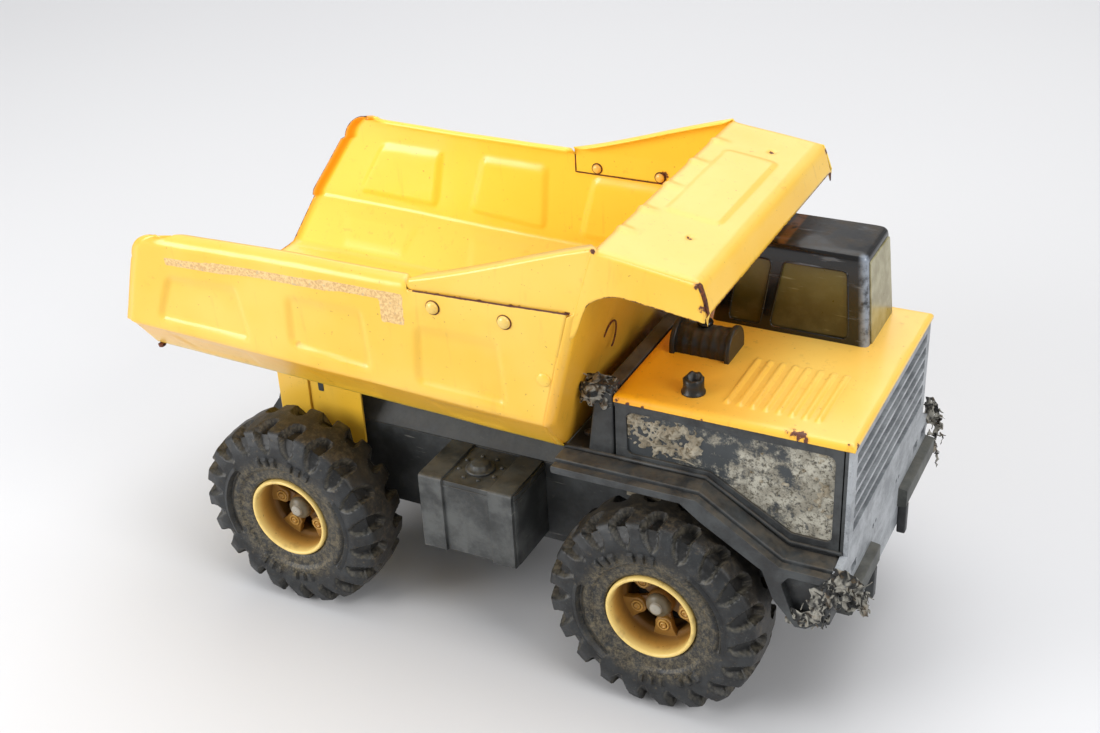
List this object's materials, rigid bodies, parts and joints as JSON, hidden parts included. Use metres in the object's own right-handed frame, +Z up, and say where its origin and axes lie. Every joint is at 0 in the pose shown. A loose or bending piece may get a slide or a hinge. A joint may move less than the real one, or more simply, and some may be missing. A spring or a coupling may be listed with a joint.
{
  "type": "push-along dump truck",
  "caption": "Large push-along toy dump truck with a pressed-steel tipping bed and canopy, an offset cab on a steel hood, moulded chassis and fenders, and chunky lugged wheels.",
  "frame": {"origin": "on the ground under the middle of the truck's bounding box", "axes": "+X forward, +Y to the truck's left (the cab's side), +Z up"},
  "size_m": [0.5254, 0.2448, 0.3189],
  "materials": {
    "bed_paint": "worn gloss yellow enamel with rust chips along the edges",
    "hood_paint": "worn gloss orange-yellow enamel",
    "black_plastic": "dusty matte moulded plastic",
    "scuffed_plastic": "scuffed plastic with a grey sheen",
    "gloss_black_plastic": "glossy moulded plastic, dusty on top",
    "tinted_window": "olive-amber tinted clear plastic",
    "tyre": "blue-black moulded tyre with tan dust in the tread",
    "rim_plastic": "cream-yellow moulded plastic, dusty in the dish",
    "cap_plastic": "translucent grey plastic",
    "steel": "dull zinc-plated steel"
  },
  "bodies": {
    "chassis": {"frame_rail_right": "black_plastic", "frame_rail_left": "black_plastic", "frame_deck": "black_plastic", "rear_crossmember": "black_plastic", "centre_crossmember": "black_plastic", "front_crossmember": "black_plastic", "front_platform": "black_plastic", "firewall": "black_plastic", "side_panel_right": "black_plastic", "side_panel_left": "black_plastic", "front_fender_right": "black_plastic", "front_fender_left": "black_plastic", "tow_hooks": "black_plastic", "stanchion_right": "black_plastic", "stanchion_left": "black_plastic", "rear_cowl": "black_plastic", "fuel_tank_right": "black_plastic", "fuel_tank_left": "black_plastic", "tank_cap_right": "black_plastic", "tank_cap_left": "black_plastic", "air_cleaner": "black_plastic", "air_cleaner_knob": "black_plastic", "exhaust_stub": "black_plastic", "grille": "scuffed_plastic", "front_bumper": "scuffed_plastic", "hood_panel": "hood_paint", "cab_body": "gloss_black_plastic", "cab_windows": "tinted_window", "frame_screws": "steel", "hinge_rod": "steel", "hinge_push_nuts": "steel", "front_axle": "steel", "rear_axle": "steel", "axle_caps": "cap_plastic"},
    "dump_bed": {"bed_tub": "bed_paint", "headboard": "bed_paint", "bed_canopy": "bed_paint", "bed_rivets": "bed_paint", "bed_bracket_right": "bed_paint", "bed_bracket_left": "bed_paint"},
    "wheel_front_right": {"tyre_front_right": "tyre", "rim_front_right": "rim_plastic"},
    "wheel_front_left": {"tyre_front_left": "tyre", "rim_front_left": "rim_plastic"},
    "wheel_rear_right": {"tyre_rear_right": "tyre", "rim_rear_right": "rim_plastic"},
    "wheel_rear_left": {"tyre_rear_left": "tyre", "rim_rear_left": "rim_plastic"}
  },
  "joints": [
    {"name": "bed_tip", "type": "hinge", "parent": "chassis", "child": "dump_bed", "pos_m": [-0.1393, 0, 0.112], "axis": [0, -1, 0], "range_deg": [0, 45]},
    {"name": "front_right_wheel_spin", "type": "hinge", "parent": "chassis", "child": "wheel_front_right", "pos_m": [0.1377, -0.0982, 0.0725], "axis": [0, 1, 0], "continuous": true},
    {"name": "front_left_wheel_spin", "type": "hinge", "parent": "chassis", "child": "wheel_front_left", "pos_m": [0.1377, 0.0982, 0.0725], "axis": [0, 1, 0], "continuous": true},
    {"name": "rear_right_wheel_spin", "type": "hinge", "parent": "chassis", "child": "wheel_rear_right", "pos_m": [-0.1393, -0.0982, 0.0725], "axis": [0, 1, 0], "continuous": true},
    {"name": "rear_left_wheel_spin", "type": "hinge", "parent": "chassis", "child": "wheel_rear_left", "pos_m": [-0.1393, 0.0982, 0.0725], "axis": [0, 1, 0], "continuous": true}
  ]
}
